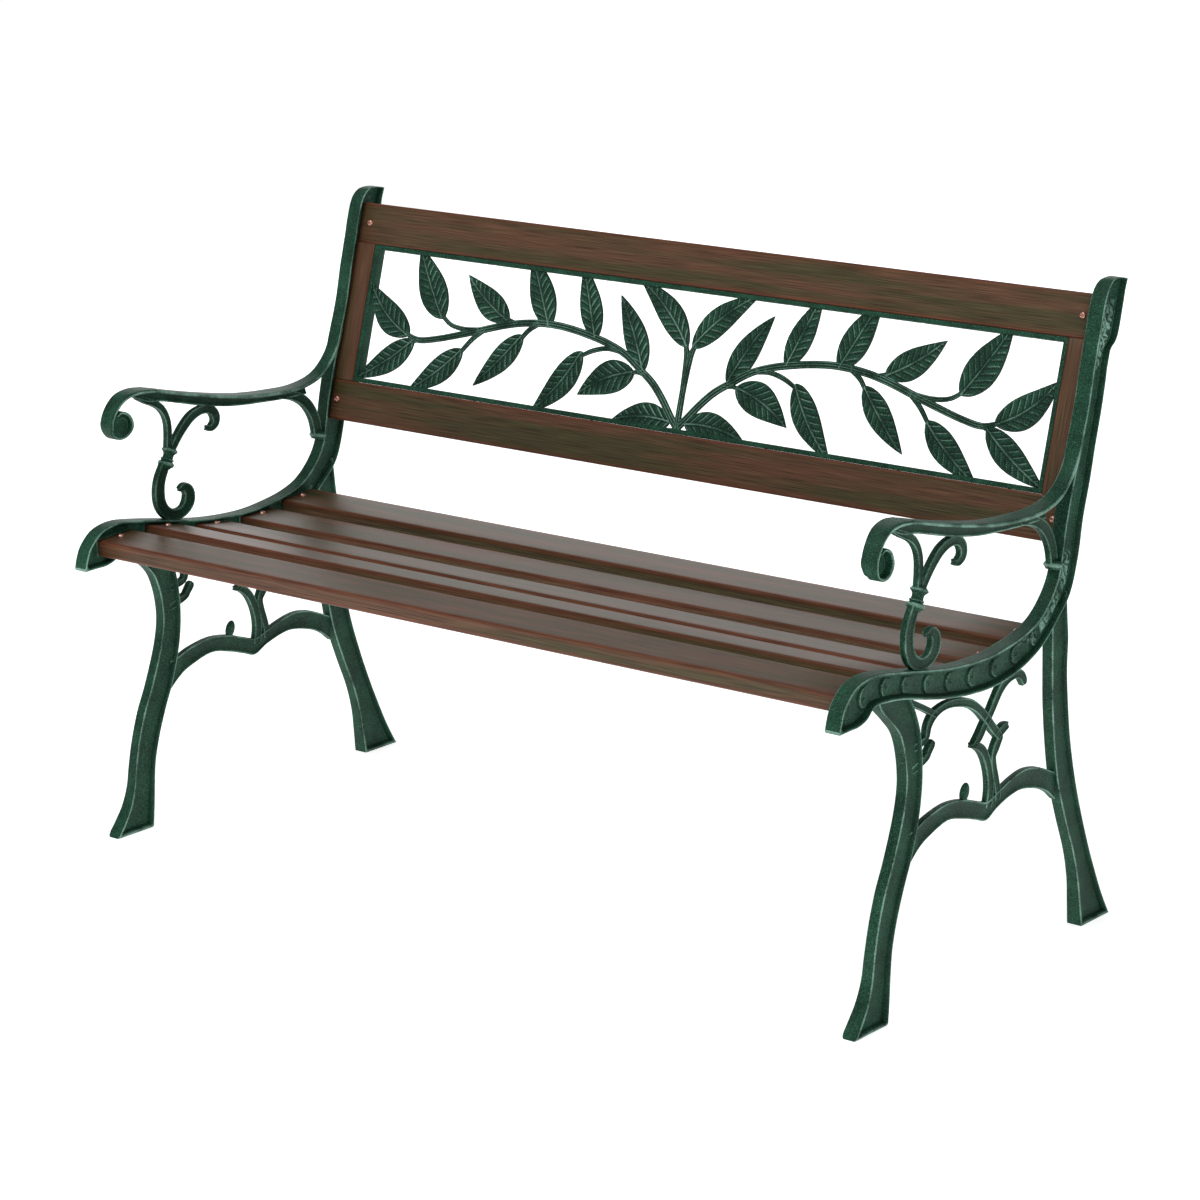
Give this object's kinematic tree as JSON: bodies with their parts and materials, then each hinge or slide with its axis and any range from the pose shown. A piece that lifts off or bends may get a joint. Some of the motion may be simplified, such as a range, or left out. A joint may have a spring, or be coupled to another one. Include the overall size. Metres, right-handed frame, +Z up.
{
  "type": "garden bench",
  "caption": "Garden bench with scrolled cast end frames, a slatted wooden seat and a wooden back framing a cast panel of leafy branches.",
  "frame": {"origin": "on the floor, in the middle of the bench's length and depth", "axes": "+X along the bench to the sitter's left, +Y to the back, +Z up"},
  "size_m": [1.207, 0.596, 0.802],
  "materials": {
    "green_paint": "dark green paint on sand-cast iron, satin, lighter where worn along the edges",
    "stained_wood": "brown-stained hardwood with an olive cast in the grain, low sheen",
    "coppered_steel": "domed bolt heads with a pinkish copper-coloured plating",
    "zinc_steel": "bright zinc plating, slightly dulled",
    "dowel_wood": "plain fluted beech, hidden in the joints"
  },
  "bodies": {
    "root": {"end_frame_left": "green_paint", "end_frame_right": "green_paint", "leaf_panel": "green_paint", "seat_slat_1": "stained_wood", "seat_slat_2": "stained_wood", "seat_slat_3": "stained_wood", "seat_slat_4": "stained_wood", "seat_slat_5": "stained_wood", "back_bottom_rail": "stained_wood", "back_top_rail": "stained_wood", "back_stile_left": "stained_wood", "back_stile_right": "stained_wood", "seat_bolts": "coppered_steel", "back_bolts": "coppered_steel", "seat_washers": "zinc_steel", "seat_nuts": "zinc_steel", "back_washers": "zinc_steel", "back_nuts": "zinc_steel", "panel_screws": "zinc_steel", "stile_dowels": "dowel_wood"}
  },
  "joints": []
}
